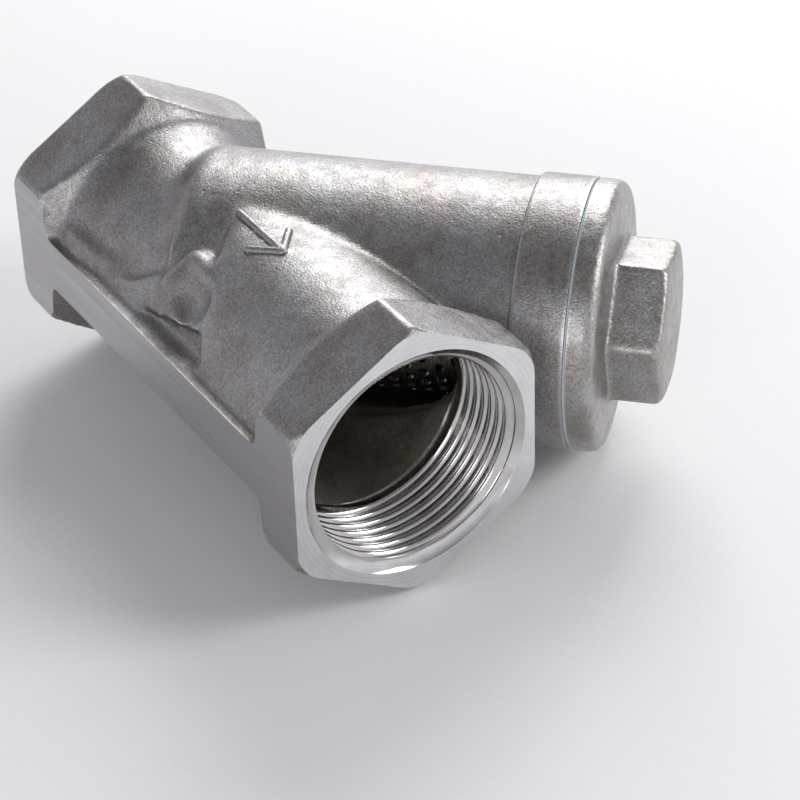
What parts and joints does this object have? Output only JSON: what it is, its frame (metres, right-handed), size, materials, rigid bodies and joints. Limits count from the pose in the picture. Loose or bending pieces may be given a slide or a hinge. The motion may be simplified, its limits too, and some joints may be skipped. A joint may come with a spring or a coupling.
{
  "type": "y strainer",
  "caption": "Screwed Y strainer: threaded hexagonal ends in line, a 45 degree branch, a screen inside and a screwed cap.",
  "frame": {"origin": "centre of the inlet's end face, on the axis of the run", "axes": "+X along the run, with the flow, from inlet to outlet; +Y towards the side that the branch leans to; +Z square to the plane of the Y, up as the part lies on its side"},
  "size_m": [0.105, 0.0947, 0.0554],
  "materials": {
    "cast_body": "bead-blasted cast stainless steel with machined ends",
    "perforated_sheet": "bright rolled perforated sheet",
    "ptfe": "skived, waxy",
    "cast_cap": "bead-blasted cast stainless steel"
  },
  "bodies": {
    "body": {"strainer_body": "cast_body"},
    "screen": {"strainer_screen": "perforated_sheet"},
    "cap": {"cap_gasket": "ptfe", "screen_cap": "cast_cap"}
  },
  "joints": [
    {"name": "screen_lift", "type": "slide", "parent": "body", "child": "screen", "axis": [0.7071, 0.7071, 0], "range_m": [0, 0.00901]},
    {"name": "cap_turn", "type": "hinge", "parent": "screen", "child": "cap", "pos_m": [0.08435, 0.05035, 0], "axis": [0.7071, 0.7071, 0], "range_deg": [0, 1620]}
  ],
  "couplings": [
    {"joint": "screen_lift", "follows": "cap_turn", "m_per_rad": 0.00031831}
  ]
}
